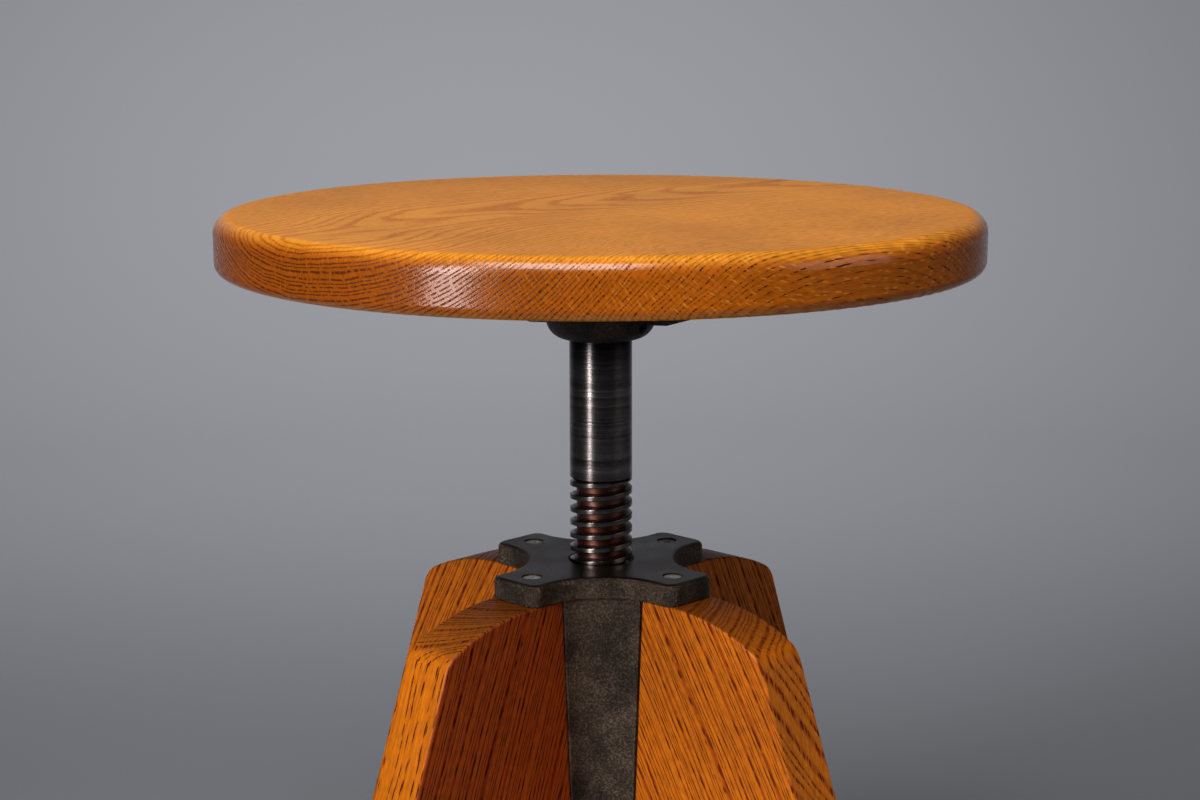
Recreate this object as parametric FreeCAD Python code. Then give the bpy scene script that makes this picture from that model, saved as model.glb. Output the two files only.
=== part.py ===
# Machinist stool: a round oak seat on a steel screw that turns in a cast iron hub on four oak legs.
# Units are millimetres. Z is up, the floor is Z = 0, and the screw's axis is the Z axis.
# The legs stand on the diagonals, and the stool is seen from the front along +Y.
import FreeCAD, Part
import math
import os

from FreeCAD import Vector, Rotation, Placement

# Seat
seat_diameter = 360.0
seat_thickness = 26.0
seat_top_rounding = 8.0
seat_bottom_rounding = 5.0
seat_above_hub = 169.5

# Seat flange, an iron casting with two long arms and two short ones
flange_turn = -12.8
boss_diameter = 52.0
boss_height = 35.3
boss_rounding = 9.5
arm_width = 34.0
arm_plate = 7.0
long_arm_reach = 122.0
short_arm_reach = 84.0
rib_width = 15.0
rib_rounding = 2.0
long_rib_depth = 28.0
long_rib_flat = 7.0
short_rib_depth = 22.0
short_rib_flat = 0.5
rib_end_depth = 10.0
arm_hole_pitch = 34.0
arm_hole_from_tip = 13.0
arm_edge_rounding = 1.5

# Screw spindle, four threads to the inch
spindle_diameter = 30.0
thread_pitch = 6.35
thread_depth = 3.2
thread_length = 196.85
crest_share = 0.30
flank_share = 0.19
shank_clear = 40.0
shank_chamfer = 1.2
spindle_end_chamfer = 2.0
spindle_top_gap = 3.0
crest_turn = 210.5

# Hub casting, a cross-shaped plate with a fluted column under it
hub_top_height = 330.5
hub_arm_reach = 60.0
hub_arm_width = 33.0
hub_waist = 35.8
hub_plate = 10.5
hub_corner_rounding = 6.0
hub_edge_rounding = 2.4
hub_low_rounding = 0.8
column_length = 119.5
pad_reach_top = 40.0
pad_reach_bottom = 34.5
pad_margin = 1.0
flute_depth = 5.0
nut_length = 50.8
skirt_bore = 49.0
bore_chamfer = 0.8

# Legs
leg_thickness = 28.0
leg_shoulder_radius = 103.4
leg_shoulder_start = 60.0
leg_edge_reach = 115.0
leg_edge_drop = 33.0
leg_splay_angle = 19.5
leg_corner_rounding = 14.0
leg_edge_rounding = 1.2
leg_foot_width = 50.0
leg_nose_drop = 12.0
leg_nose_rounding = 3.5
leg_arch_radius = 400.0

# Fasteners and feet
hub_screw_circle = 46.8
hub_screw_head = 8.6
hub_screw_head_land = 0.4
hub_screw_shank = 4.8
hub_screw_length = 38.0
hub_screw_sunk = 0.7
hub_screw_rim = 0.6
hub_screw_recess = 4.8
hub_screw_recess_depth = 2.4
seat_screw_head = 9.0
seat_screw_head_height = 3.2
seat_screw_head_rim = 1.4
seat_screw_crown = 5.4
seat_screw_recess = 4.5
seat_screw_recess_depth = 1.6
seat_screw_shank = 4.5
seat_screw_bite = 15.0
set_screw_diameter = 6.0
set_screw_turn = -40.8
set_screw_height = 6.8
set_screw_sunk = 1.0
set_screw_socket = 3.0
hanger_diameter = 8.0
hanger_bite = 42.0
hanger_height = 24.0
hanger_stub = 1.5
hanger_washer_diameter = 17.0
hanger_washer_thickness = 1.6
hanger_nut_flats = 13.0
hanger_nut_height = 6.5
spot_face_diameter = 20.0
spot_face_reach = 28.5
stop_washer_diameter = 36.0
stop_washer_thickness = 6.0
stop_washer_rounding = 0.8
stop_shoulder_diameter = 14.0
stop_head_flats = 17.0
stop_head_height = 7.0
stop_head_land = 0.2
stop_thread_diameter = 10.0
stop_thread_length = 22.0
stop_collar_diameter = 22.0
stop_collar_thickness = 2.5
glide_diameter = 24.0
glide_flat_diameter = 15.0
glide_height = 5.0
glide_knee_diameter = 22.0
glide_knee_height = 2.0
glide_rim_height = 3.5
glide_nail_diameter = 2.6
glide_nail_length = 18.0
glide_nail_point = 5.2

# Clearances
thread_clearance = 0.35
washer_play = 0.35
seat_fit = 0.05
screw_clearance = 0.1
head_clearance = 0.2

# How far a cutter runs past a face, and how near a point must be to lie on a face
overcut = 1.0
near = 0.01

# Worked out from the sizes above
seat_radius = seat_diameter / 2
seat_top = hub_top_height + seat_above_hub
seat_bottom = seat_top - seat_thickness
boss_bottom = seat_bottom - boss_height
spindle_radius = spindle_diameter / 2
spindle_top = seat_bottom - spindle_top_gap
thread_top = hub_top_height + shank_clear
thread_turns = round(thread_length / thread_pitch)
spindle_bottom = thread_top - thread_turns * thread_pitch
plate_bottom = hub_top_height - hub_plate
column_bottom = plate_bottom - column_length
nut_shoulder = hub_top_height - nut_length
pad_width = leg_thickness + 2 * pad_margin
skirt_radius = skirt_bore / 2
leg_angles = {"front_left": 225.0, "front_right": 315.0, "back_right": 45.0, "back_left": 135.0}
arm_angles = sorted(leg_angles.values())

samples_round = 48
samples_up = 24


def turned(shape, degrees):
    """The shape turned about the stool's axis."""
    copy = shape.copy()
    copy.rotate(Vector(0, 0, 0), Vector(0, 0, 1), degrees)
    return copy


def cylinder(radius, low, high, x=0.0, y=0.0):
    """An upright cylinder between two heights."""
    return Part.makeCylinder(radius, high - low, Vector(x, y, low))


def prism(points, low, high):
    """An upright prism over an outline of (x, y) points."""
    corners = [Vector(x, y, low) for x, y in points]
    face = Part.Face(Part.makePolygon(corners + corners[:1]))
    return face.extrude(Vector(0, 0, high - low))


def hexagon(flats, low, high):
    """A hexagon prism of this width across flats."""
    radius = flats / math.sqrt(3)
    turns = [2 * math.pi * side / 6 for side in range(6)]
    return prism([(radius * math.cos(turn), radius * math.sin(turn)) for turn in turns], low, high)


def revolved(points):
    """A closed outline of (radius, height) points turned about the Z axis."""
    corners = [Vector(radius, 0, height) for radius, height in points]
    face = Part.Face(Part.makePolygon(corners + corners[:1]))
    return face.revolve(Vector(0, 0, 0), Vector(0, 0, 1), 360)


def edges_where(shape, test):
    """The edges whose middle points pass a test."""
    found = []
    for edge in shape.Edges:
        middle = edge.valueAt((edge.FirstParameter + edge.LastParameter) / 2)
        if test(middle, edge):
            found.append(edge)
    return found


def cross_recess(width, depth, top):
    """The cutter for a cross recess in a screw's head."""
    arm = width / 4
    one = Part.makeBox(width, arm, depth, Vector(-width / 2, -arm / 2, top - depth))
    return one.fuse(turned(one, 90))


# Threads: the rod's cross-section keeps its shape and turns with height.
def thread_section(root, depth, crest):
    """The radius at a share of a turn from the middle of the crest."""
    def radius(share):
        away = abs((share + 0.5) % 1.0 - 0.5)
        across = (away - crest / 2) / flank_share
        across = min(max(across, 0.0), 1.0)
        return root + depth * (1 - across * across * (3 - 2 * across))
    return radius


def thread_turn(radius, low):
    """The skin of one whole turn of the thread, from this height up."""
    rows = []
    for up in range(samples_up + 1):
        height = low + thread_pitch * up / samples_up
        turn = (height - hub_top_height) / thread_pitch + crest_turn / 360
        row = []
        for step in range(samples_round + 1):
            share = (step % samples_round) / samples_round
            angle = 2 * math.pi * (share + turn + 0.5)
            reach = radius(share + 0.5)
            row.append(Vector(reach * math.cos(angle), reach * math.sin(angle), height))
        rows.append(row)
    surface = Part.BSplineSurface()
    surface.interpolate(rows)
    return surface.toShape()


def threaded_rod(radius, low, turns):
    """A solid rod with this many turns of thread, closed by flat ends."""
    first = thread_turn(radius, low)
    skins = []
    for turn in range(turns):
        skin = first.copy()
        skin.translate(Vector(0, 0, turn * thread_pitch))
        skins.append(skin)
    high = low + turns * thread_pitch
    ends = []
    for skin, height in ((skins[0], low), (skins[-1], high)):
        rim = [edge for edge in skin.Edges if abs(edge.BoundBox.ZMax - height) < 1e-4
               and abs(edge.BoundBox.ZMin - height) < 1e-4]
        ends.append(Part.Face(Part.Wire(rim)))
    shell = Part.makeShell(skins + ends)
    shell.sewShape()
    solid = Part.makeSolid(shell if shell.ShapeType == "Shell" else shell.Shells[0])
    if solid.Volume < 0:
        solid.reverse()
    return solid


def make_spindle():
    """The screw: a plain shank above, the thread below and a tapped hole for the stop bolt."""
    root = spindle_radius - thread_depth
    rod = threaded_rod(thread_section(root, thread_depth, crest_share), spindle_bottom, thread_turns)
    shank = revolved([
        (0, thread_top - spindle_radius), (root / 2, thread_top - spindle_radius), (root / 2, thread_top),
        (spindle_radius - shank_chamfer, thread_top), (spindle_radius, thread_top + shank_chamfer),
        (spindle_radius, spindle_top - shank_chamfer), (spindle_radius - shank_chamfer, spindle_top),
        (0, spindle_top),
    ])
    beside = spindle_radius + overcut
    below = spindle_bottom - overcut
    chamfer = revolved([
        (spindle_radius - spindle_end_chamfer, below), (beside, below),
        (beside, spindle_bottom + spindle_end_chamfer + overcut),
        (spindle_radius - spindle_end_chamfer, spindle_bottom),
    ])
    hole = cylinder(stop_thread_diameter / 2 + seat_fit, below,
                    spindle_bottom + stop_thread_length + overcut)
    return rod.fuse(shank).cut(chamfer).cut(hole)


def make_hub():
    """The hub: the cross plate and the fluted column in one casting, threaded, with a wider skirt below."""
    plate = hub_plate_blank()
    column = hub_column_blank()
    hub = plate.fuse(column).removeSplitter()
    root = spindle_radius - thread_depth
    mouth = spindle_radius + thread_clearance + bore_chamfer
    hub = hub.cut(Part.makeCone(root, mouth + overcut, mouth + overcut - root,
                                Vector(0, 0, hub_top_height - mouth + root)))
    hub = hub.cut(nut_cutter())
    hub = hub.cut(cylinder(skirt_radius, column_bottom - overcut, nut_shoulder))
    for angle in leg_angles.values():
        hub = hub.cut(turned(hub_screw_cutter(), angle))
        hub = hub.cut(turned(hanger_cutter(), angle))
    return hub


def hub_plate_blank():
    """The cross-shaped plate, with hollow sides between its arms."""
    half = hub_arm_width / 2
    wires = []
    corners = []
    for angle in arm_angles:
        turn = Rotation(Vector(0, 0, 1), angle)
        corners.append((turn.multVec(Vector(hub_arm_reach, -half, plate_bottom)),
                        turn.multVec(Vector(hub_arm_reach, half, plate_bottom))))
    for number, (start, end) in enumerate(corners):
        following = corners[(number + 1) % len(corners)][0]
        waist = (end + following) * 0.5
        flat = Vector(waist.x, waist.y, 0)
        middle = flat * (hub_waist / flat.Length) + Vector(0, 0, plate_bottom)
        wires.append(Part.LineSegment(start, end).toShape())
        wires.append(Part.Arc(end, middle, following).toShape())
    plate = Part.Face(Part.Wire(wires)).extrude(Vector(0, 0, hub_plate))
    upright = edges_where(plate, lambda p, e: abs(p.z - plate_bottom - hub_plate / 2) < near)
    plate = plate.makeFillet(hub_corner_rounding, upright)
    rim = edges_where(plate, lambda p, e: abs(p.z - hub_top_height) < near)
    plate = plate.makeFillet(min(hub_edge_rounding, hub_plate / 2), rim)
    low_rim = edges_where(plate, lambda p, e: abs(p.z - plate_bottom) < near)
    return plate.makeFillet(min(hub_low_rounding, hub_plate / 4), low_rim)


def column_section(reach, height):
    """The column's outline at one height: four flat pads for the legs, and hollow faces between them."""
    half = pad_width / 2
    edges = []
    corners = []
    for angle in arm_angles:
        turn = Rotation(Vector(0, 0, 1), angle)
        corners.append((turn.multVec(Vector(reach, -half, height)),
                        turn.multVec(Vector(reach, half, height))))
    for number, (start, end) in enumerate(corners):
        following = corners[(number + 1) % len(corners)][0]
        chord = (end + following) * 0.5
        flat = Vector(chord.x, chord.y, 0)
        middle = flat * ((flat.Length - flute_depth) / flat.Length) + Vector(0, 0, height)
        edges.append(Part.LineSegment(start, end).toShape())
        edges.append(Part.Arc(end, middle, following).toShape())
    return Part.Wire(edges)


def hub_column_blank():
    """The tapered column, from inside the plate to its foot."""
    taper = (pad_reach_top - pad_reach_bottom) / column_length
    inside = hub_plate / 2
    top = column_section(pad_reach_top + taper * inside, plate_bottom + inside)
    return Part.makeLoft([column_section(pad_reach_bottom, column_bottom), top], True, True)


def nut_cutter():
    """The thread cut in the hub: the screw's own thread, larger by the clearance all round."""
    wider = crest_share + 2 * thread_clearance / thread_pitch
    section = thread_section(spindle_radius - thread_depth + thread_clearance, thread_depth, wider)
    turns = math.ceil(nut_length / thread_pitch) + 2
    return threaded_rod(section, hub_top_height - (turns - 1) * thread_pitch, turns).common(
        cylinder(spindle_diameter, nut_shoulder - overcut, hub_top_height + overcut))


def countersunk(head, shank, length, top):
    """A countersunk wood screw pointing down, without its recess."""
    cone = (head - shank) / 2
    return revolved([
        (0, top), (head / 2, top), (head / 2, top - hub_screw_head_land),
        (shank / 2, top - hub_screw_head_land - cone),
        (shank / 2, top - length + shank), (0, top - length),
    ])


def hub_screw(clearance=0.0):
    """The screw through a hub arm, at its place on +X. With a clearance, the hole for it."""
    top = hub_top_height - hub_screw_sunk
    screw = countersunk(hub_screw_head + 2 * clearance, hub_screw_shank + 2 * clearance,
                        hub_screw_length + 2 * clearance, top + clearance)
    if clearance:
        screw = screw.fuse(cylinder(hub_screw_head / 2 + hub_screw_rim, top, hub_top_height + overcut))
    else:
        screw = screw.cut(cross_recess(hub_screw_recess, hub_screw_recess_depth, top))
    screw.translate(Vector(hub_screw_circle, 0, 0))
    return screw


def hub_screw_cutter():
    """The countersunk hole in a hub arm."""
    return hub_screw(screw_clearance)


def pad_reach(height):
    """How far the column's pad is from the axis at this height."""
    share = (height - column_bottom) / column_length
    return pad_reach_bottom + (pad_reach_top - pad_reach_bottom) * share


def along_x(shape, height):
    """A shape made along Z, laid along +X at this height."""
    shape.Placement = Placement(Vector(0, 0, height), Rotation(Vector(0, 1, 0), 90)).multiply(shape.Placement)
    return shape


def hanger_z():
    """The height of the hanger bolts."""
    return column_bottom + hanger_height


def hanger_cutter():
    """The hole in the column's wall for a hanger bolt, with the spot face for its washer."""
    outer = pad_reach_top + overcut
    hole = along_x(cylinder(hanger_diameter / 2 + seat_fit, spindle_radius, outer), hanger_z())
    seat = along_x(cylinder(spot_face_diameter / 2, 0, spot_face_reach), hanger_z())
    return hole.fuse(seat)


def hanger_inner():
    """How near the axis a hanger bolt's end comes."""
    return spot_face_reach - hanger_washer_thickness - hanger_nut_height - hanger_stub


def make_hanger_bolt(clearance=0.0):
    """The bolt from inside the column into the leg, with a pointed wood end."""
    tip = pad_reach(hanger_z()) + hanger_bite
    radius = hanger_diameter / 2 + clearance
    bolt = revolved([(0, hanger_inner()), (radius, hanger_inner()), (radius, tip - hanger_diameter),
                     (0, tip + clearance)])
    return along_x(bolt, hanger_z())


def make_hanger_washer():
    """The washer on the spot face."""
    low = spot_face_reach - hanger_washer_thickness
    ring = cylinder(hanger_washer_diameter / 2, low, spot_face_reach)
    hole = cylinder(hanger_diameter / 2 + seat_fit, low - overcut, spot_face_reach + overcut)
    return along_x(ring.cut(hole), hanger_z())


def make_hanger_nut():
    """The hexagon nut on the washer."""
    high = spot_face_reach - hanger_washer_thickness
    low = high - hanger_nut_height
    nut = hexagon(hanger_nut_flats, low, high)
    hole = cylinder(hanger_diameter / 2 + seat_fit, low - overcut, high + overcut)
    return along_x(nut.cut(hole), hanger_z())


def edge_reach(height):
    """How far a leg's outer edge is from the axis at this height."""
    below = hub_top_height - leg_edge_drop - height
    return leg_edge_reach + below * math.tan(math.radians(leg_splay_angle))


def make_leg():
    """A leg standing on +X, with its own screw holes."""
    tangent = math.tan(math.radians(leg_splay_angle))
    centre_z = plate_bottom - leg_shoulder_radius
    # where the outer edge meets the shoulder's circle
    lean = math.hypot(1, tangent)
    offset = (edge_reach(centre_z) - leg_shoulder_start) / lean
    along = math.sqrt(leg_shoulder_radius ** 2 - offset ** 2)
    corner_z = centre_z + offset * tangent / lean + along / lean
    corner = Vector(edge_reach(corner_z), 0, corner_z)

    start = Vector(leg_shoulder_start, 0, plate_bottom)
    half_turn = math.atan2(corner.x - leg_shoulder_start, corner_z - centre_z) / 2
    shoulder = Vector(leg_shoulder_start + leg_shoulder_radius * math.sin(half_turn), 0,
                      centre_z + leg_shoulder_radius * math.cos(half_turn))
    toe = Vector(edge_reach(glide_height), 0, glide_height)
    heel = Vector(toe.x - leg_foot_width, 0, glide_height)
    pad_top = Vector(pad_reach(plate_bottom), 0, plate_bottom)
    pad_foot = Vector(pad_reach_bottom, 0, column_bottom)
    nose = Vector(pad_reach(column_bottom - leg_nose_drop), 0, column_bottom - leg_nose_drop)
    chord = heel - nose
    side = Vector(chord.z, 0, -chord.x)
    side.normalize()
    sag = leg_arch_radius - math.sqrt(leg_arch_radius ** 2 - (chord.Length / 2) ** 2)
    arch = (nose + heel) * 0.5 - side * sag
    outline = Part.Wire([
        Part.LineSegment(pad_top, start).toShape(),
        Part.Arc(start, shoulder, corner).toShape(),
        Part.LineSegment(corner, toe).toShape(),
        Part.LineSegment(toe, heel).toShape(),
        Part.Arc(heel, arch, nose).toShape(),
        Part.LineSegment(nose, pad_foot).toShape(),
        Part.LineSegment(pad_foot, pad_top).toShape(),
    ])
    leg = Part.Face(outline).extrude(Vector(0, leg_thickness, 0))
    leg.translate(Vector(0, -leg_thickness / 2, 0))
    leg = leg.makeFillet(leg_corner_rounding, edges_where(leg, lambda p, e: (p - corner).Length < near))
    leg = leg.makeFillet(leg_nose_rounding, edges_where(leg, lambda p, e: (p - nose).Length < near))

    def free_edge(p, edge):
        on_side = abs(abs(p.y) - leg_thickness / 2) < near
        on_plate = abs(p.z - plate_bottom) < near
        on_pad = abs(p.x - pad_reach(p.z)) < near and p.z > column_bottom
        return on_side and not on_plate and not on_pad
    return leg.makeFillet(leg_edge_rounding, edges_where(leg, free_edge))


def leg_with_holes():
    """The leg on +X with the holes for its screw, bolt and glide nail."""
    leg = make_leg()
    leg = leg.cut(hub_screw(seat_fit))
    leg = leg.cut(make_hanger_bolt(seat_fit))
    nail = cylinder(glide_nail_diameter / 2 + seat_fit, glide_height - overcut,
                    glide_height + glide_nail_length + seat_fit, glide_reach())
    return leg.cut(nail)


def glide_reach():
    """How far a glide's middle is from the axis."""
    return edge_reach(glide_height) - leg_foot_width / 2


def make_glide():
    """A domed steel glide with its nail, under a leg on +X."""
    glide = revolved([
        (0, 0), (glide_flat_diameter / 2, 0), (glide_knee_diameter / 2, glide_knee_height),
        (glide_diameter / 2, glide_rim_height), (glide_diameter / 2, glide_height),
        (glide_nail_diameter / 2, glide_height),
        (glide_nail_diameter / 2, glide_height + glide_nail_length - glide_nail_point),
        (0, glide_height + glide_nail_length),
    ])
    glide.translate(Vector(glide_reach(), 0, 0))
    return glide


def make_seat():
    """The round seat board, with its edges rounded and holes for the screws from below."""
    board = cylinder(seat_radius, seat_bottom, seat_top)
    board = board.makeFillet(seat_top_rounding, edges_where(board, lambda p, e: abs(p.z - seat_top) < near))
    low_edge = edges_where(board, lambda p, e: abs(p.z - seat_bottom) < near)
    board = board.makeFillet(seat_bottom_rounding, low_edge)
    for hole in seat_screws(seat_fit):
        board = board.cut(hole)
    return board


def arm_holes():
    """The (x, y) of each screw hole in the flange, before the flange is turned."""
    inner = boss_diameter / 2 + arm_hole_pitch / 2
    off = (arm_width + rib_width) / 4
    places = [(side * (long_arm_reach - arm_hole_from_tip), 0.0) for side in (-1, 1)]
    places += [(0.0, side * (short_arm_reach - arm_hole_from_tip)) for side in (-1, 1)]
    places += [(side * inner, step * off) for side in (-1, 1) for step in (-1, 1)]
    return places


def arm_plate_blank(reach):
    """A flat bar with round ends, under the seat, along X."""
    low = seat_bottom - arm_plate
    half = arm_width / 2
    bar = Part.makeBox(2 * (reach - half), arm_width, arm_plate, Vector(half - reach, -half, low))
    for side in (-1, 1):
        bar = bar.fuse(cylinder(half, low, seat_bottom, side * (reach - half)))
    bar = bar.removeSplitter()
    return bar.makeFillet(arm_edge_rounding, edges_where(bar, lambda p, e: abs(p.z - low) < near))


def arm_rib(reach, depth, flat):
    """The rib under an arm, along X: level near the boss, then rising towards the arm's end."""
    end = reach - 2 * arm_hole_from_tip
    level = flat + boss_diameter / 2
    tip_low = seat_bottom - rib_end_depth
    points = [(-end, tip_low), (-level, seat_bottom - depth), (level, seat_bottom - depth), (end, tip_low),
              (end, seat_bottom - overcut), (-end, seat_bottom - overcut)]
    corners = [Vector(x, -rib_width / 2, z) for x, z in points]
    rib = Part.Face(Part.makePolygon(corners + corners[:1])).extrude(Vector(0, rib_width, 0))
    under = edges_where(rib, lambda p, e: abs(abs(p.y) - rib_width / 2) < near
                        and p.z < tip_low - near)
    return rib.makeFillet(rib_rounding, under)


def make_flange():
    """The seat flange: boss, arms, ribs and screw holes in one casting."""
    boss = cylinder(boss_diameter / 2, boss_bottom, seat_bottom)
    boss = boss.makeFillet(boss_rounding, edges_where(boss, lambda p, e: abs(p.z - boss_bottom) < near))
    flange = arm_plate_blank(long_arm_reach).fuse(turned(arm_plate_blank(short_arm_reach), 90))
    flange = flange.fuse(arm_rib(long_arm_reach, long_rib_depth, long_rib_flat))
    flange = flange.fuse(turned(arm_rib(short_arm_reach, short_rib_depth, short_rib_flat), 90))
    flange = flange.fuse(boss).removeSplitter()
    flange = flange.cut(cylinder(spindle_radius + seat_fit, boss_bottom - overcut, seat_bottom + overcut))
    plate_low = seat_bottom - arm_plate
    for x, y in arm_holes():
        flange = flange.cut(cylinder(seat_screw_shank / 2 + screw_clearance, plate_low - overcut,
                                     seat_bottom + overcut, x, y))
        flange = flange.cut(cylinder(seat_screw_head / 2 + head_clearance,
                                     seat_bottom - rib_end_depth - overcut, plate_low, x, y))
    flange = turned(flange, flange_turn)
    return flange.cut(set_screw_hole())


def seat_screws(clearance=0.0):
    """The round-headed wood screws from under the flange into the seat. With a clearance, their holes."""
    screws = []
    under = seat_bottom - arm_plate
    shank = seat_screw_shank / 2 + clearance
    tip = seat_bottom + seat_screw_bite + clearance
    head = seat_screw_head / 2
    for x, y in arm_holes():
        crown = under - seat_screw_head_height
        screw = revolved([(0, crown), (seat_screw_crown / 2, crown), (head, under - seat_screw_head_rim),
                          (head, under), (shank, under), (shank, tip - seat_screw_shank), (0, tip)])
        if not clearance:
            screw = screw.cut(cross_recess(seat_screw_recess, seat_screw_recess_depth,
                                           crown + seat_screw_recess_depth))
        screw.translate(Vector(x, y, 0))
        screws.append(turned(screw, flange_turn))
    return screws


def set_screw_place(shape):
    """A shape made along Z from the axis, laid towards the set screw's side of the boss."""
    return turned(along_x(shape, boss_bottom + set_screw_height), set_screw_turn)


def set_screw_hole():
    """The tapped hole through the boss's wall."""
    hole = cylinder(set_screw_diameter / 2 + seat_fit, spindle_radius - overcut,
                    boss_diameter / 2 + overcut)
    return set_screw_place(hole)


def make_set_screw():
    """The headless screw that keeps the spindle from turning in the boss."""
    low = spindle_radius + seat_fit
    high = boss_diameter / 2 - set_screw_sunk
    screw = cylinder(set_screw_diameter / 2, low, high)
    return set_screw_place(screw.cut(hexagon(set_screw_socket, high - set_screw_socket, high + overcut)))


def stop_washer_top():
    """The top face of the loose stop washer."""
    return spindle_bottom - washer_play


def make_stop_washer():
    """The loose washer under the screw, which meets the hub's shoulder at the highest seat."""
    high = stop_washer_top()
    low = high - stop_washer_thickness
    ring = cylinder(stop_washer_diameter / 2, low, high)
    rims = edges_where(ring, lambda p, e: e.Curve.TypeId == "Part::GeomCircle")
    ring = ring.makeFillet(stop_washer_rounding, rims)
    return ring.cut(cylinder(stop_shoulder_diameter / 2 + washer_play, low - overcut, high + overcut))


def stop_collar_top():
    """The top face of the plain washer under the stop washer."""
    return spindle_bottom - stop_washer_thickness - 2 * washer_play


def make_stop_collar():
    """The small plain washer between the bolt's head and the stop washer."""
    high = stop_collar_top()
    low = high - stop_collar_thickness
    ring = cylinder(stop_collar_diameter / 2, low, high)
    return ring.cut(cylinder(stop_thread_diameter / 2 + seat_fit, low - overcut, high + overcut))


def make_stop_bolt():
    """The bolt into the screw's end, with a shoulder that leaves the stop washer loose."""
    head_top = stop_collar_top() - stop_collar_thickness
    thread = cylinder(stop_thread_diameter / 2, head_top - stop_head_height / 2,
                      spindle_bottom + stop_thread_length)
    shoulder = cylinder(stop_shoulder_diameter / 2, stop_collar_top(), spindle_bottom)
    head = hexagon(stop_head_flats, head_top - stop_head_height, head_top)
    face = stop_head_flats / 2 + stop_head_land
    crown = Part.makeCone(face, face + stop_head_height, stop_head_height,
                          Vector(0, 0, head_top - stop_head_height))
    return head.common(crown).fuse(thread).fuse(shoulder)


def export(name, shape):
    """Write one node, as a single solid or as a group of separate solids."""
    solids = shape if isinstance(shape, list) else [shape]
    solids = [solid.Solids[0] if len(solid.Solids) == 1 else solid for solid in solids]
    for solid in solids:
        if solid.ShapeType != "Solid" or not solid.isValid():
            print("CHECK", name, solid.ShapeType, len(solid.Solids), solid.isValid())
    whole = solids[0] if len(solids) == 1 else Part.makeCompound(solids)
    whole.exportStep(os.path.join("parts", name + ".step"))
    print(name, len(solids), round(whole.Volume, 1))


def on_each_leg(shape):
    """A copy of a shape on each leg."""
    return [turned(shape, angle) for angle in leg_angles.values()]


os.makedirs("parts", exist_ok=True)
export("seat_board", make_seat())
export("seat_flange", make_flange())
export("seat_screws", seat_screws())
export("spindle", make_spindle())
export("set_screw", make_set_screw())
export("stop_washer", make_stop_washer())
export("stop_collar", make_stop_collar())
export("stop_bolt", make_stop_bolt())
export("hub_casting", make_hub())
leg_blank = leg_with_holes()
glide_blank = make_glide()
for place, angle in leg_angles.items():
    export("leg_" + place, turned(leg_blank, angle))
    export("glide_" + place, turned(glide_blank, angle))
export("hub_screws", on_each_leg(hub_screw()))
export("hanger_bolts", on_each_leg(make_hanger_bolt()))
export("hanger_washers", on_each_leg(make_hanger_washer()))
export("hanger_nuts", on_each_leg(make_hanger_nut()))
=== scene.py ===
# A machinist's stool: oak seat and legs, a turned steel lifting screw and a dark iron hub.
# Metres, Z up, the floor at Z = 0 and the screw on the Z axis. Values in millimetres say so.
import math
from functools import partial

import bmesh
import bpy
from mathutils import Matrix, Vector

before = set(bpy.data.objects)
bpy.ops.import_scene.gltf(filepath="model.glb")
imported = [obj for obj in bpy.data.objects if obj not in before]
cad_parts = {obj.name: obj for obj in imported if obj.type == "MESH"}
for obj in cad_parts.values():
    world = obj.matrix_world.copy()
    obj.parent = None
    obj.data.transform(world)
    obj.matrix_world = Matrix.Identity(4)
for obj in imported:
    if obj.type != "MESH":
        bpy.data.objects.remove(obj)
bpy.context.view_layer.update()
print("frame loaded:", len(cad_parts), "nodes")

mmPerMetre = 1000.0
noiseLow, noiseMiddle, noiseHigh = 0.3, 0.5, 0.7   # a noise texture's usual values


# ---------- helpers ----------
def linear(hexColour):
    # sRGB hex to the linear colour that a shader wants
    parts = [int(hexColour[at:at + 2], 16) / 255 for at in (1, 3, 5)]
    return tuple(part / 12.92 if part <= 0.04045 else ((part + 0.055) / 1.055) ** 2.4
                 for part in parts) + (1.0,)


def addNode(tree, kind, inputs=None, **settings):
    # one shader node; an input is a value, a socket or a node, whose first output it takes
    made = tree.nodes.new("ShaderNode" + kind)
    for name, value in settings.items():
        setattr(made, name, value)
    for socket, value in (inputs or {}).items():
        if isinstance(value, bpy.types.Node):
            value = value.outputs[0]
        if isinstance(value, bpy.types.NodeSocket):
            tree.links.new(value, made.inputs[socket])
        else:
            made.inputs[socket].default_value = value
    return made


def newMaterial(name):
    # an empty material and the function that adds nodes to it
    made = bpy.data.materials.new(name)
    made.use_nodes = True
    made.node_tree.nodes.clear()
    return made, partial(addNode, made.node_tree)


def stretched(lengths):
    # a Mapping scale that turns millimetres into cells of the given lengths
    return tuple(1.0 / length for length in lengths)


# ---------- camera ----------
photoCamera = {
    "lens": 67.53, "sensorWidth": 36.0,       # mm
    "distance": 1.0557, "height": 0.6132,     # m, from the screw's axis and above the floor
    "turn": 0.00037, "tilt": 0.19169, "roll": -0.00275,   # radians
    "walkRound": -0.8,                        # degrees round the stool from the seat's front
}
cameraData = bpy.data.cameras.new("photo_camera")
cameraData.lens = photoCamera["lens"]
cameraData.sensor_width = photoCamera["sensorWidth"]
camera = bpy.data.objects.new("photo_camera", cameraData)
bpy.context.scene.collection.objects.link(camera)
camera.matrix_world = (
    Matrix.Rotation(math.radians(photoCamera["walkRound"]), 4, "Z")
    @ Matrix.Translation((0.0, -photoCamera["distance"], photoCamera["height"]))
    @ Matrix.Rotation(photoCamera["turn"], 4, "Z")
    @ Matrix.Rotation(math.pi / 2 - photoCamera["tilt"], 4, "X")
    @ Matrix.Rotation(photoCamera["roll"], 4, "Z"))
bpy.context.scene.camera = camera
print("camera placed")

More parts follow.
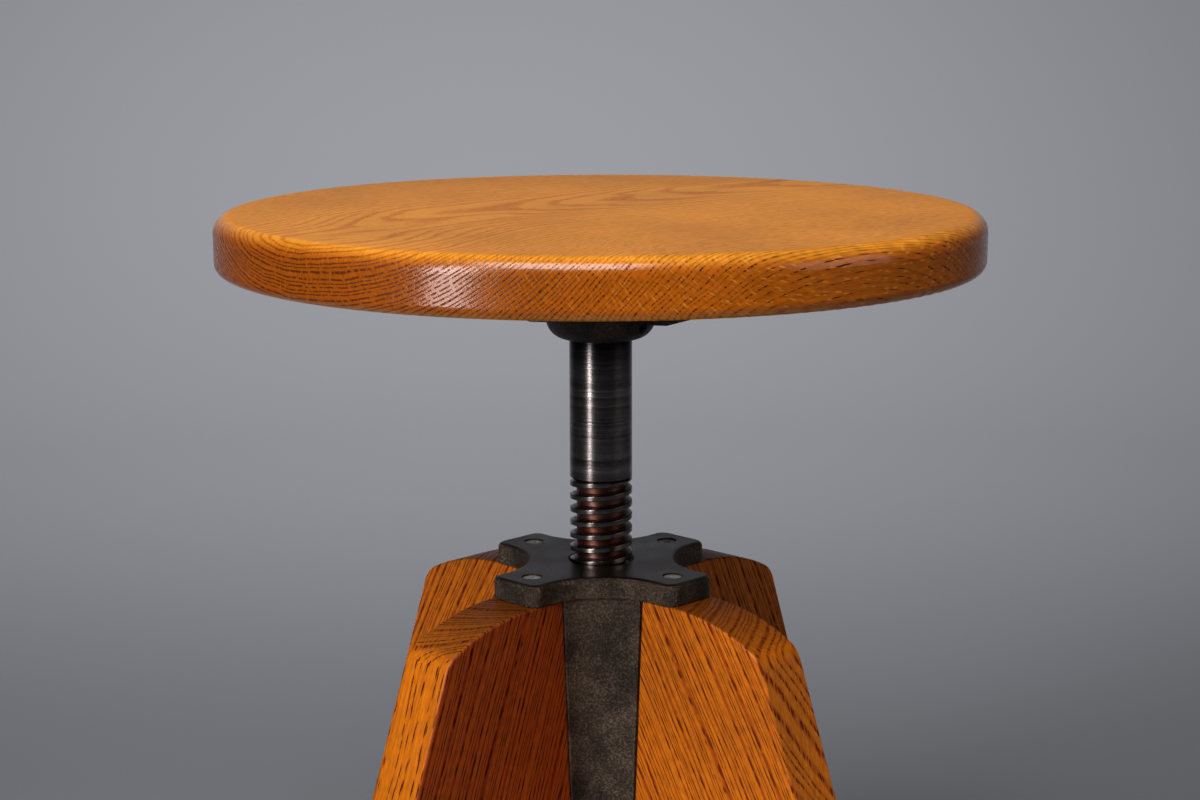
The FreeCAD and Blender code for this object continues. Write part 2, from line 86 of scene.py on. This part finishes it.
# ---------- backdrop, world and lamps ----------
studio = {
    "paperColour": "#7f8085", "paperSheen": 0.2, "paperRoughness": (0.85, 0.95),
    "paperCloud": 2.5,                        # clouds in the paper, to a metre
    "floorRings": (0.4, 1.2),                 # m, the floor's inner edge loops
    "flatRadius": 1.9, "bendRadius": 1.6, "wallHeight": 3.4,   # m, it sweeps up all round
    "bendSteps": 16, "roundSteps": 144,
    "worldColour": "#c9cacd", "worldStrength": 0.07,
}


def makeBackdrop():
    # one sweep of paper, turned round the stool so that every side has the same ground
    bend = studio["bendRadius"]
    flat = studio["flatRadius"]
    profile = [(ring, 0.0) for ring in studio["floorRings"]]
    for step in range(studio["bendSteps"] + 1):
        angle = 0.5 * math.pi * step / studio["bendSteps"]
        profile.append((flat + bend * math.sin(angle), bend * (1.0 - math.cos(angle))))
    profile.append((flat + bend, studio["wallHeight"]))
    shape = bmesh.new()
    centre = shape.verts.new((0.0, 0.0, 0.0))
    steps = studio["roundSteps"]
    turns = [2.0 * math.pi * step / steps for step in range(steps)]
    rows = [[shape.verts.new((r * math.cos(turn), r * math.sin(turn), z)) for turn in turns]
            for r, z in profile]
    for at in range(len(turns)):
        after = (at + 1) % len(turns)
        shape.faces.new((centre, rows[0][at], rows[0][after]))
        for inner, outer in zip(rows, rows[1:]):
            shape.faces.new((inner[at], outer[at], outer[after], inner[after]))
    for face in shape.faces:
        face.smooth = True
    mesh = bpy.data.meshes.new("studio_backdrop")
    shape.to_mesh(mesh)
    shape.free()
    backdrop = bpy.data.objects.new("studio_backdrop", mesh)
    bpy.context.scene.collection.objects.link(backdrop)
    paper, add = newMaterial("matt_backdrop_paper")
    place = add("TexCoord")
    cloud = add("TexNoise", {"Vector": place.outputs["Object"], "Scale": studio["paperCloud"],
                             "Detail": 3.0})
    smooth, rough = studio["paperRoughness"]
    dull = add("MapRange", {"Value": cloud, "To Min": smooth, "To Max": rough})
    lit = add("BsdfPrincipled", {"Base Color": linear(studio["paperColour"]), "Roughness": dull,
                                 "Specular IOR Level": studio["paperSheen"]})
    add("OutputMaterial", {"Surface": lit})
    mesh.materials.append(paper)

    world = bpy.data.worlds.new("studio_air")
    bpy.context.scene.world = world
    world.use_nodes = True
    world.node_tree.nodes.clear()
    add = partial(addNode, world.node_tree)
    air = add("Background", {"Color": linear(studio["worldColour"]),
                             "Strength": studio["worldStrength"]})
    add("OutputWorld", {"Surface": air})


makeBackdrop()

# azimuth is degrees round from the seat's front towards the picture's left, and spread is the
# cone of light in degrees; places and sizes are in metres, power is in watts
lamps = {
    "tall_strip": {"azimuth": 42, "away": 1.6, "height": 0.85, "aim": (0.0, 0.0, 0.45),
                   "size": (0.33, 1.55), "power": 6.8, "spread": 90},
    "soft_box": {"azimuth": 16, "away": 1.1, "height": 2.0, "aim": (0.0, 0.0, 0.45),
                 "size": (1.2, 1.2), "power": 17, "spread": 110},
    "weak_fill": {"azimuth": -70, "away": 1.9, "height": 1.0, "aim": (0.0, 0.0, 0.40),
                  "size": (1.2, 1.2), "power": 2.0, "spread": 120},
    "backdrop_lamp": {"azimuth": 180, "away": 0.7, "height": 2.4, "aim": (-0.25, 2.9, 0.25),
                      "size": (1.6, 0.7), "power": 34, "spread": 95},
}


def makeLamps():
    for name, lamp in lamps.items():
        data = bpy.data.lights.new(name, "AREA")
        data.shape = "RECTANGLE"
        data.size, data.size_y = lamp["size"]
        data.energy = lamp["power"]
        data.spread = math.radians(lamp["spread"])
        made = bpy.data.objects.new(name, data)
        bpy.context.scene.collection.objects.link(made)
        side = math.radians(lamp["azimuth"])
        made.location = (-lamp["away"] * math.sin(side), -lamp["away"] * math.cos(side),
                         lamp["height"])
        toAim = Vector(lamp["aim"]) - made.location
        made.rotation_euler = toAim.to_track_quat("-Z", "Y").to_euler()
        made.visible_camera = False


makeLamps()
print("studio lit")

# ---------- oak ----------
# Ring-porous oak under an old rubbed varnish: rows of open pores, darker early wood, pale rays.
# The IOR of 1.5 and a low roughness give the satin sheen that the seat's rounded edge shows.
oakGrain = {
    # cells in mm: along the grain, then across it. Pores and rays are drawn coarser than real
    # ones, 0.3 mm wide, which are too fine to show here.
    "pore": (11.0, 0.75, 1.0), "poreRun": (16.0, 1.8, 1.0),   # a pore, and a broken run of them
    "ray": (7.0, 0.8, 8.0), "fibre": (70.0, 1.1, 1.1), "patch": 80.0,
    "fleck": 1.4,                             # flecks of tone to a ray
    "waves": (((170.0, 62.0, 62.0), 5.0),     # mm, the slow bends of the rings and their reach
              ((34.0, 9.0, 9.0), 0.7)),       # and the small ones
    # shares of a year's growth
    "poreRow": (0.02, 0.34), "earlyWood": (0.28, 0.52), "yearStart": 0.06,
    "seasonWave": 0.31,                       # how fast wide years turn into narrow ones
    "rowJump": 7.3,                           # cells between one year's pores and the next's
    "poreEdge": (0.30, 0.50), "rowEdge": (0.10, 0.80),   # where a pore and a full row fade out
    "rowSlant": 0.06,                         # keeps a row open where its ring lies along a face
    "rayEdge": (0.16, 0.30), "rayShare": 0.4,
    "fleckTone": (0.84, 1.16), "patchTone": (0.84, 1.10), "fibrePale": 1.12,
    # faces are told apart by their normal's share along the board (ends) and up through it
    "endFaces": (0.30, 1.0), "endShare": 0.85, "edgeFaces": (0.25, 0.90), "flatFaces": 0.88,
    "poreDepth": 0.00016,                     # m
    "poreRough": 0.3, "poreGloss": 0.04,      # an open pore has no varnish to shine
}
seatOak = {
    "along": (math.cos(math.radians(38.2)), math.sin(math.radians(38.2)), 0.0),
    "up": (0.0, 0.0, 1.0), "centre": (0.0, 0.0, 0.487),
    "ringWidth": 1.8, "seasons": 1.2,         # mm of growth a year, and how far the years differ
    "pith": (0.0, 28.0, 146.0), "leanUp": -0.033,   # mm across and up, and its rise per mm along
    "swirl": (-185.0, -50.0, -50.0),          # mm along, from and to, and the pith's start across
    "late": "#d08426", "early": "#bd6c14", "pore": "#421a04", "ray": "#d8923a",
    "end": "#7a3806",
    "edge": "#984305", "edgeShare": 0.8,      # the rim, in a darker colour than the top: painted shade on the seat's upright rim
    "roughness": 0.16, "topDull": 0.26, "gloss": 0.40, "relief": 0.30,
    "fibreDark": 0.86, "topPores": 0.5,
    "rowStrength": 1.0, "rowPinch": 1.7, "poreGaps": (0.33, 0.48),
}
legOak = {
    "centre": (0.0, 0.0, 0.15),
    "ringWidth": 2.2, "seasons": 2.6,
    "pith": (0.0, -120.0, 95.0), "leanUp": 0.012,
    "swirl": (-1000.0, -999.0, 0.0),          # none
    "late": "#b86006", "early": "#963f03", "pore": "#632405", "ray": "#bd6a10",
    "end": "#562c10", "edge": "#c0660a", "edgeShare": 0.3,
    "roughness": 0.42, "topDull": 0.1, "gloss": 0.18, "relief": 0.7,
    "fibreDark": 0.77, "topPores": 1.0,
    "rowStrength": 0.7, "rowPinch": 0.15, "poreGaps": (0.20, 0.36),
}
legGrain = {   # degrees: the diagonal each leg stands on, and its grain's slope out from plumb
    "leg_front_left": (225, 19), "leg_front_right": (315, 31),
    "leg_back_right": (45, 24), "leg_back_left": (135, 28),
}
redBoardLitAndShaded = {   # the front left leg: a redder board, darker all over by painted shade, its narrow faces paler by painted light
    "late": "#98400a", "early": "#7c2503", "ray": "#9c4a0c", "pore": "#481603",
    "edge": "#bb6507", "edgeShare": 0.75,
}


def growthRings(add, board, mm):
    # rings round a pith that drifts a little along the board
    bent = mm
    for cellSize, reach in oakGrain["waves"]:
        cells = add("Mapping", {"Vector": mm, "Scale": stretched(cellSize)})
        noise = add("TexNoise", {"Vector": cells, "Scale": 1.0, "Detail": 1.5})
        sway = add("VectorMath", {0: noise.outputs["Color"], 1: (noiseMiddle,) * 3},
                   operation="SUBTRACT")
        bent = add("VectorMath", {0: sway, 1: (0.0, 2 * reach, 2 * reach), 2: bent},
                   operation="MULTIPLY_ADD")
    fromPith = add("VectorMath", {0: bent, 1: board["pith"]}, operation="SUBTRACT")
    x = add("SeparateXYZ", {"Vector": mm}).outputs["X"]
    swirlFrom, swirlTo, swing = board["swirl"]
    swung = add("MapRange", {"Value": x, "From Min": swirlFrom, "From Max": swirlTo,
                             "To Min": swing, "To Max": 0.0}, interpolation_type="SMOOTHSTEP")
    across = add("SeparateXYZ", {"Vector": fromPith}).outputs["Y"]
    across = add("Math", {0: across, 1: swung}, operation="SUBTRACT")
    upward = add("VectorMath", {0: fromPith, 1: (-board["leanUp"], 0.0, 1.0)},
                 operation="DOT_PRODUCT").outputs["Value"]
    spoke = add("CombineXYZ", {"Y": across, "Z": upward})
    radius = add("VectorMath", {0: spoke}, operation="LENGTH").outputs["Value"]
    angle = add("Math", {0: across, 1: upward}, operation="ARCTAN2")
    arc = add("Math", {0: angle, 1: Vector(board["pith"]).length}, operation="MULTIPLY")

    years = add("Math", {0: radius, 1: board["ringWidth"]}, operation="DIVIDE")
    season = add("TexNoise", {"W": years, "Scale": oakGrain["seasonWave"], "Detail": 1.0},
                 noise_dimensions="1D")
    years = add("Math", {0: season, 1: board["seasons"], 2: years}, operation="MULTIPLY_ADD")
    ring = add("Math", {0: years}, operation="FRACT")
    earlyFrom, earlyTo = oakGrain["earlyWood"]
    closing = add("MapRange", {"Value": ring, "From Min": earlyFrom, "From Max": earlyTo,
                               "To Min": 1.0, "To Max": 0.0}, interpolation_type="SMOOTHSTEP")
    opening = add("MapRange", {"Value": ring, "From Max": oakGrain["yearStart"]})
    early = add("Math", {0: closing, 1: opening}, operation="MULTIPLY")

    # which way the rings grow, with the pull of the swirl: a smooth step's slope is 6t(1 - t)
    started = add("MapRange", {"Value": x, "From Min": swirlFrom, "From Max": swirlTo})
    ended = add("Math", {0: 1.0, 1: started}, operation="SUBTRACT")
    pull = add("Math", {0: started, 1: ended}, operation="MULTIPLY")
    steepest = 6.0 * swing / (swirlTo - swirlFrom)
    pull = add("Math", {0: pull, 1: steepest}, operation="MULTIPLY")
    pull = add("Math", {0: pull, 1: across}, operation="MULTIPLY")
    outward = add("CombineXYZ", {"X": pull, "Y": across, "Z": upward})
    outward = add("VectorMath", {0: outward}, operation="NORMALIZE")
    return {"x": x, "arc": arc, "radius": radius, "years": years, "ring": ring, "early": early,
            "outward": outward}


def boardFaces(add, board, axes, surface):
    # how far a face is a cut end of the board, one of its edges or one of its wide faces
    shares = [add("VectorMath", {0: surface, 1: axis}, operation="DOT_PRODUCT") for axis in axes]
    along, across, up = [share.outputs["Value"] for share in shares]
    end = add("Math", {0: along}, operation="ABSOLUTE")
    endFrom, endTo = oakGrain["endFaces"]
    endGrain = add("MapRange", {"Value": end, "From Min": endFrom, "From Max": endTo,
                                "To Min": 0.0, "To Max": oakGrain["endShare"]})
    wide = add("Math", {0: up}, operation="ABSOLUTE")
    edgeFrom, edgeTo = oakGrain["edgeFaces"]
    edge = add("MapRange", {"Value": wide, "From Min": edgeFrom, "From Max": edgeTo,
                            "To Min": board["edgeShare"], "To Max": 0.0},
               interpolation_type="SMOOTHSTEP")
    normal = add("CombineXYZ", {"X": along, "Y": across, "Z": up})
    return {"normal": normal, "end": endGrain, "edge": edge, "wide": wide}


def poreRows(add, board, wood, faces):
    # one row of long thin cells in each year's early wood, closer together on cut ends
    grain = oakGrain
    year = add("Math", {0: wood["years"]}, operation="FLOOR")
    year = add("Math", {0: year, 1: grain["pore"][1] * grain["rowJump"]}, operation="MULTIPLY")
    shifted = add("Math", {0: wood["arc"], 1: year}, operation="ADD")
    rowPlace = add("CombineXYZ", {"X": wood["x"], "Y": shifted, "Z": year})
    cells = add("Mapping", {"Vector": rowPlace, "Scale": stretched(grain["pore"])})
    pores = add("TexVoronoi", {"Vector": cells, "Scale": 1.0, "Randomness": 0.8},
                voronoi_dimensions="2D")
    cells = add("Mapping", {"Vector": rowPlace, "Scale": stretched(grain["poreRun"])})
    run = add("TexNoise", {"Vector": cells, "Scale": 1.0, "Detail": 1.0})
    gapFrom, gapTo = board["poreGaps"]
    present = add("MapRange", {"Value": run, "From Min": gapFrom, "From Max": gapTo})

    # how far from the row's middle; a row keeps its width on the faces that a ring meets at a slant
    rowFrom, rowTo = grain["poreRow"]
    away = add("Math", {0: wood["ring"], 1: 0.5 * (rowFrom + rowTo)}, operation="SUBTRACT")
    away = add("Math", {0: away, 1: 1.0 / (rowTo - rowFrom)}, operation="MULTIPLY")
    away = add("Math", {0: away, 1: away}, operation="MULTIPLY")
    slant = add("VectorMath", {0: wood["outward"], 1: faces["normal"]},
                operation="DOT_PRODUCT").outputs["Value"]
    slant = add("Math", {0: slant, 1: slant}, operation="MULTIPLY")
    narrow = add("MapRange", {"Value": slant, "To Min": 1.0, "To Max": grain["rowSlant"]})
    narrow = add("Math", {0: narrow, 1: -board["rowPinch"]}, operation="POWER")
    away = add("Math", {0: away, 1: narrow}, operation="MULTIPLY")

    reach = add("Math", {0: away, 1: pores.outputs["Distance"]}, operation="ADD")
    poreFrom, poreTo = grain["poreEdge"]
    pore = add("MapRange", {"Value": reach, "From Min": poreFrom, "From Max": poreTo,
                            "To Min": 1.0, "To Max": 0.0}, interpolation_type="SMOOTHSTEP")
    closedFrom, closedTo = grain["rowEdge"]
    row = add("MapRange", {"Value": away, "From Min": closedFrom, "From Max": closedTo,
                           "To Min": 1.0, "To Max": 0.0}, interpolation_type="SMOOTHSTEP")
    row = add("Math", {0: row, 1: faces["end"]}, operation="MULTIPLY")
    row = add("Math", {0: row, 1: board["rowStrength"]}, operation="MULTIPLY")
    pore = add("Math", {0: pore, 1: row}, operation="MAXIMUM")
    pore = add("Math", {0: pore, 1: present}, operation="MULTIPLY", use_clamp=True)
    filled = add("MapRange", {"Value": faces["edge"], "From Max": board["edgeShare"],
                              "To Min": board["topPores"], "To Max": 1.0})
    return add("Math", {0: pore, 1: filled}, operation="MULTIPLY")


def makeOak(name, board):
    oak, add = newMaterial(name)
    grain = oakGrain
    along, up = Vector(board["along"]), Vector(board["up"])
    axes = Matrix((along, up.cross(along), up))
    place = add("TexCoord")
    mm = add("Mapping", {"Vector": place.outputs["Object"], "Scale": (mmPerMetre,) * 3,
                         "Rotation": axes.to_euler("XYZ"),
                         "Location": -mmPerMetre * (axes @ Vector(board["centre"]))})
    wood = growthRings(add, board, mm)
    faces = boardFaces(add, board, axes, place.outputs["Normal"])
    pore = poreRows(add, board, wood, faces)

    # rays: thin plates that stand along the spokes
    plates = add("CombineXYZ", {"X": wood["x"], "Y": wood["arc"], "Z": wood["radius"]})
    cells = add("Mapping", {"Vector": plates, "Scale": stretched(grain["ray"])})
    rays = add("TexVoronoi", {"Vector": cells, "Scale": 1.0, "Randomness": 1.0})
    rayFrom, rayTo = grain["rayEdge"]
    ray = add("MapRange", {"Value": rays.outputs["Distance"], "From Min": rayFrom,
                           "From Max": rayTo, "To Min": grain["rayShare"], "To Max": 0.0},
              interpolation_type="SMOOTHSTEP")

    # flecks by the rays, fibres and slow changes of tone
    fleck = add("TexNoise", {"Vector": cells, "Scale": grain["fleck"], "Detail": 1.0})
    cells = add("Mapping", {"Vector": mm, "Scale": stretched(grain["fibre"])})
    fibre = add("TexNoise", {"Vector": cells, "Scale": 1.0, "Detail": 3.0, "Roughness": 0.65})
    patch = add("TexNoise", {"Vector": mm, "Scale": 1.0 / grain["patch"], "Detail": 2.0})
    tone = 1.0
    for noise, (darkest, palest) in ((fibre, (board["fibreDark"], grain["fibrePale"])),
                                     (patch, grain["patchTone"]), (fleck, grain["fleckTone"])):
        part = add("MapRange", {"Value": noise, "From Min": noiseLow, "From Max": noiseHigh,
                                "To Min": darkest, "To Max": palest})
        tone = add("Math", {0: tone, 1: part}, operation="MULTIPLY")

    colour = linear(board["late"])
    # the edge layer carries the painted shade of the seat's rim and the painted light on the front
    # left leg's narrow faces
    for share, layer in ((wood["early"], "early"), (faces["edge"], "edge"), (ray, "ray"),
                         (faces["end"], "end"), (pore, "pore")):
        colour = add("Mix", {0: share, 6: colour, 7: linear(board[layer])},
                     data_type="RGBA").outputs[2]
    colour = add("VectorMath", {0: colour, "Scale": tone}, operation="SCALE")
    dull = add("MapRange", {"Value": faces["wide"], "From Min": grain["flatFaces"],
                            "To Min": board["roughness"],
                            "To Max": board["roughness"] + board["topDull"]})
    dull = add("Math", {0: pore, 1: grain["poreRough"], 2: dull}, operation="MULTIPLY_ADD")
    hollow = add("Math", {0: pore, 1: fibre}, operation="SUBTRACT")
    height = add("Bump", {"Height": hollow, "Distance": grain["poreDepth"],
                          "Strength": board["relief"]}, invert=True)
    shine = add("MapRange", {"Value": pore, "To Min": board["gloss"], "To Max": grain["poreGloss"]})
    skin = add("BsdfPrincipled", {"Base Color": colour, "Roughness": dull, "Normal": height,
                                  "IOR": 1.5, "Specular IOR Level": shine})
    add("OutputMaterial", {"Surface": skin})
    return oak


def legBoard(degrees, slope):
    # a leg's board: its grain runs down and out, and its wide faces stand along the diagonal
    stand, lean = math.radians(degrees), math.radians(slope)
    out = Vector((math.cos(stand), math.sin(stand), 0.0))
    along = out * math.sin(lean) - Vector((0.0, 0.0, math.cos(lean)))
    return dict(legOak, along=tuple(along), up=(out.y, -out.x, 0.0))


finishes = {"seat_board": makeOak("varnished_oak_seat", seatOak)}
for leg, (degrees, slope) in legGrain.items():
    board = legBoard(degrees, slope)
    # the front left leg takes painted shade on its wide faces and painted light on its narrow ones
    if leg == "leg_front_left":
        board.update(redBoardLitAndShaded)
    finishes[leg] = makeOak("varnished_oak_" + leg, board)
print("oak made")

# ---------- iron ----------
# Grey cast iron, blackened and oiled: a sandy matt skin, smooth with a sheen on its top faces; the
# pale speckles on its sides are painted glints, partly real wear to bare metal.
castIron = {
    # the palest colour is for the speckles of painted glint and wear on the sides
    "dark": "#2c241f", "warm": "#4c3f35", "wearAndGlint": "#978572",
    "grit": 1.15,                             # mm; moulding sand of 0.3 mm is too fine to show
    "swell": 18.0,                            # mm across a stain
    "gritDepth": 0.0009, "gritOnTop": 0.06,   # m, and the share of it that is left on top faces
    "topFaces": (0.75, 0.98),                 # the normal's upward share, from side to top
    "warmStain": (0.35, 0.70), "wearGlintStain": (0.35, 0.65),   # noise values that each fades in between
    "wearGlintGrit": (0.46, 0.74), "wearGlintMost": 0.85, "wearGlintLeast": 0.35,
    "roughTop": 0.32, "roughSide": 0.40, "stainRough": (-0.06, 0.08), "metal": 0.9,
}


def makeIron(name, finish):
    iron, add = newMaterial(name)
    place = add("TexCoord")
    mm = add("Mapping", {"Vector": place.outputs["Object"], "Scale": (mmPerMetre,) * 3})
    grit = add("TexNoise", {"Vector": mm, "Scale": 1.0 / finish["grit"], "Detail": 4.0,
                            "Roughness": 0.75})
    stain = add("TexNoise", {"Vector": mm, "Scale": 1.0 / finish["swell"], "Detail": 3.0,
                             "Roughness": 0.6})
    upward = add("SeparateXYZ", {"Vector": place.outputs["Normal"]}).outputs["Z"]
    topFrom, topTo = finish["topFaces"]
    top = add("MapRange", {"Value": upward, "From Min": topFrom, "From Max": topTo},
              interpolation_type="SMOOTHSTEP")
    sandy = add("Math", {0: 1.0, 1: top}, operation="SUBTRACT")
    warmFrom, warmTo = finish["warmStain"]
    warmth = add("MapRange", {"Value": stain, "From Min": warmFrom, "From Max": warmTo})
    colour = add("Mix", {0: warmth, 6: linear(finish["dark"]), 7: linear(finish["warm"])},
                 data_type="RGBA").outputs[2]
    # pale speckles on the tops of the sand marks, on side faces only: painted glints, partly wear to
    # bare metal
    gritFrom, gritTo = finish["wearGlintGrit"]
    wearAndGlint = add("MapRange", {"Value": grit, "From Min": gritFrom, "From Max": gritTo,
                              "To Max": finish["wearGlintMost"]})
    wearGlintFrom, wearGlintTo = finish["wearGlintStain"]
    wearGlintPatch = add("MapRange", {"Value": stain, "From Min": wearGlintFrom, "From Max": wearGlintTo,
                            "To Min": finish["wearGlintLeast"]})
    wearGlintPatch = add("Math", {0: wearGlintPatch, 1: sandy}, operation="MULTIPLY")
    wearAndGlint = add("Math", {0: wearAndGlint, 1: wearGlintPatch}, operation="MULTIPLY")
    colour = add("Mix", {0: wearAndGlint, 6: colour, 7: linear(finish["wearAndGlint"])},
                 data_type="RGBA").outputs[2]
    dull = add("MapRange", {"Value": sandy, "To Min": finish["roughTop"],
                            "To Max": finish["roughSide"]})
    cleaner, dirtier = finish["stainRough"]
    stainDull = add("MapRange", {"Value": stain, "From Min": noiseLow, "From Max": noiseHigh,
                                 "To Min": cleaner, "To Max": dirtier})
    dull = add("Math", {0: dull, 1: stainDull}, operation="ADD")
    depth = add("MapRange", {"Value": sandy, "To Min": finish["gritOnTop"], "To Max": 1.0})
    marks = add("Math", {0: grit, 1: depth}, operation="MULTIPLY")
    height = add("Bump", {"Height": marks, "Distance": finish["gritDepth"], "Strength": 1.0})
    skin = add("BsdfPrincipled", {"Base Color": colour, "Roughness": dull, "Normal": height,
                                  "Metallic": finish["metal"]})
    add("OutputMaterial", {"Surface": skin})
    return iron


finishes["hub_casting"] = makeIron("blackened_cast_iron_hub", castIron)
# the flange under the seat takes a darker copy of the hub's iron: painted shade
finishes["seat_flange"] = makeIron("cast_iron_flange_painted_shade", dict(
    castIron, dark="#1d1a18", warm="#302925", wearAndGlint="#5a4f46"))
print("iron made")

# ---------- turned steel ----------
# Bright carbon steel turned on a lathe and never plated: fine rings round the shank draw the
# highlight into a line, its top's blue heat tint made nearly black as painted shade, old grease and
# rust in the thread.
screwSteel = {
    "bright": "#938c8a", "dim": "#5c5350", "rust": "#5e2a16", "tintAndShade": "#030311",
    "ringFine": 0.9, "ringWide": 4.2,         # mm along the shank; real feed marks are 0.2 mm
    "ringDepth": 0.00003,                     # m
    "cloud": 11.0, "cloudEdge": (0.3, 0.6),   # mm across a stain, and where its noise fades out
    "bandTone": (0.7, 1.3),                   # of the wide rings and the stains together
    "rootRadius": 12.2, "crestRadius": 14.6,  # mm, between rusty and clean
    "rustLeast": 0.45, "rustRough": 0.25,
    "tintShadeFrom": 420.0, "tintShadeTo": 440.0,       # mm up, where the shank's heat tint and its painted shade begin
    "tintShadeMost": 0.96, "tintShadeLeast": 0.85,
    "roughness": (0.18, 0.27),
    "drawnOut": 0.4, "drawnTurn": 0.25,       # how far and which way the highlight is drawn out
}


def makeScrewSteel(name):
    steel, add = newMaterial(name)
    finish = screwSteel
    place = add("TexCoord")
    mm = add("Mapping", {"Vector": place.outputs["Object"], "Scale": (mmPerMetre,) * 3})
    up = add("SeparateXYZ", {"Vector": mm}).outputs["Z"]
    flat = add("VectorMath", {0: mm, 1: (1.0, 1.0, 0.0)}, operation="MULTIPLY")
    outward = add("VectorMath", {0: flat}, operation="LENGTH").outputs["Value"]
    fine = add("TexNoise", {"W": up, "Scale": 1.0 / finish["ringFine"], "Detail": 2.0},
               noise_dimensions="1D")
    wide = add("TexNoise", {"W": up, "Scale": 1.0 / finish["ringWide"], "Detail": 2.0},
               noise_dimensions="1D")
    cloud = add("TexNoise", {"Vector": mm, "Scale": 1.0 / finish["cloud"], "Detail": 4.0,
                             "Roughness": 0.65})
    clean = add("MapRange", {"Value": outward, "From Min": finish["rootRadius"],
                             "From Max": finish["crestRadius"]}, interpolation_type="SMOOTHSTEP")
    low = add("Math", {0: 1.0, 1: clean}, operation="SUBTRACT")
    toneFrom, toneTo = finish["bandTone"]
    tone = add("Math", {0: wide, 1: cloud}, operation="ADD")
    tone = add("MapRange", {"Value": tone, "From Min": toneFrom, "From Max": toneTo})
    colour = add("Mix", {0: tone, 6: linear(finish["dim"]), 7: linear(finish["bright"])},
                 data_type="RGBA").outputs[2]
    cloudFrom, cloudTo = finish["cloudEdge"]
    # the heat tint at the shank's top, darkened nearly to black: painted shade under the flange
    tintShade = add("MapRange", {"Value": up, "From Min": finish["tintShadeFrom"],
                           "From Max": finish["tintShadeTo"], "To Max": finish["tintShadeMost"]},
              interpolation_type="SMOOTHSTEP")
    uneven = add("MapRange", {"Value": cloud, "From Min": cloudFrom, "From Max": cloudTo,
                              "To Min": finish["tintShadeLeast"]})
    tintShade = add("Math", {0: tintShade, 1: uneven}, operation="MULTIPLY")
    colour = add("Mix", {0: tintShade, 6: colour, 7: linear(finish["tintAndShade"])}, data_type="RGBA").outputs[2]
    rusty = add("MapRange", {"Value": cloud, "From Min": cloudFrom, "From Max": cloudTo,
                             "To Min": finish["rustLeast"], "To Max": 1.0})
    rusty = add("Math", {0: rusty, 1: low}, operation="MULTIPLY")
    colour = add("Mix", {0: rusty, 6: colour, 7: linear(finish["rust"])},
                 data_type="RGBA").outputs[2]
    smooth, rough = finish["roughness"]
    dull = add("MapRange", {"Value": fine, "From Min": noiseLow, "From Max": noiseHigh,
                            "To Min": smooth, "To Max": rough})
    dull = add("Math", {0: rusty, 1: finish["rustRough"], 2: dull}, operation="MULTIPLY_ADD")
    height = add("Bump", {"Height": fine, "Distance": finish["ringDepth"], "Strength": 1.0})
    spun = add("Tangent", direction_type="RADIAL", axis="Z")
    skin = add("BsdfPrincipled", {"Base Color": colour, "Roughness": dull, "Normal": height,
                                  "Metallic": 1.0, "Anisotropic": finish["drawnOut"],
                                  "Anisotropic Rotation": finish["drawnTurn"], "Tangent": spun})
    add("OutputMaterial", {"Surface": skin})
    return steel


finishes["spindle"] = makeScrewSteel("turned_steel_screw")

# Small steel parts, zinc plated and dulled by age: grey and even, faintly scratched and stained.
fastenerSteel = {
    "pale": "#b9b8b4", "dark": "#8a8783", "stain": 5.0,   # mm across a stain
    "scratch": (8.0, 0.6, 8.0),               # mm; real ones are finer
    "scratchTurn": (0.3, 0.5, 0.7),           # radians
    "scratchDepth": 0.00002, "scratchRelief": 0.6,   # m, and the share of it that shows
    "roughness": (0.36, 0.55), "metal": 0.75,
}


def makeSmallSteel(name, finish):
    steel, add = newMaterial(name)
    place = add("TexCoord")
    mm = add("Mapping", {"Vector": place.outputs["Object"], "Scale": (mmPerMetre,) * 3})
    stain = add("TexNoise", {"Vector": mm, "Scale": 1.0 / finish["stain"], "Detail": 4.0})
    lines = add("Mapping", {"Vector": mm, "Scale": stretched(finish["scratch"]),
                            "Rotation": finish["scratchTurn"]})
    scratch = add("TexNoise", {"Vector": lines, "Scale": 1.0, "Detail": 2.0})
    age = add("MapRange", {"Value": stain, "From Min": noiseLow, "From Max": noiseHigh})
    colour = add("Mix", {0: age, 6: linear(finish["dark"]), 7: linear(finish["pale"])},
                 data_type="RGBA").outputs[2]
    smooth, rough = finish["roughness"]
    dull = add("MapRange", {"Value": age, "To Min": rough, "To Max": smooth})
    height = add("Bump", {"Height": scratch, "Distance": finish["scratchDepth"],
                          "Strength": finish["scratchRelief"]})
    skin = add("BsdfPrincipled", {"Base Color": colour, "Roughness": dull, "Normal": height,
                                  "Metallic": finish["metal"]})
    add("OutputMaterial", {"Surface": skin})
    return steel


zincPlated = makeSmallSteel("zinc_plated_steel", fastenerSteel)
nickelGlide = makeSmallSteel("nickel_plated_glide", dict(
    fastenerSteel, pale="#b3ada2", dark="#8a8478", roughness=(0.22, 0.42)))
for name in ("seat_screws", "stop_washer", "stop_collar", "stop_bolt", "hanger_bolts",
             "hanger_washers", "hanger_nuts"):
    finishes[name] = zincPlated
# the hub's screw heads sit in the seat's shade: a paler, less metallic copy of the zinc, painted
# light
finishes["hub_screws"] = makeSmallSteel("zinc_screw_heads_painted_light", dict(
    fastenerSteel, pale="#c9c8c3", dark="#9d9a95", metal=0.45))
finishes["set_screw"] = makeSmallSteel("black_oxide_steel", dict(
    fastenerSteel, pale="#33302e", dark="#1d1b1a"))
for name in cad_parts:
    if name.startswith("glide_"):
        finishes[name] = nickelGlide
print("steel made")

for name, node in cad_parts.items():
    if not node.material_slots:
        node.data.materials.append(None)
    for slot in node.material_slots:
        slot.material = finishes[name]

# ---------- view settings ------------------------
bpy.context.scene.view_settings.view_transform = "Standard"
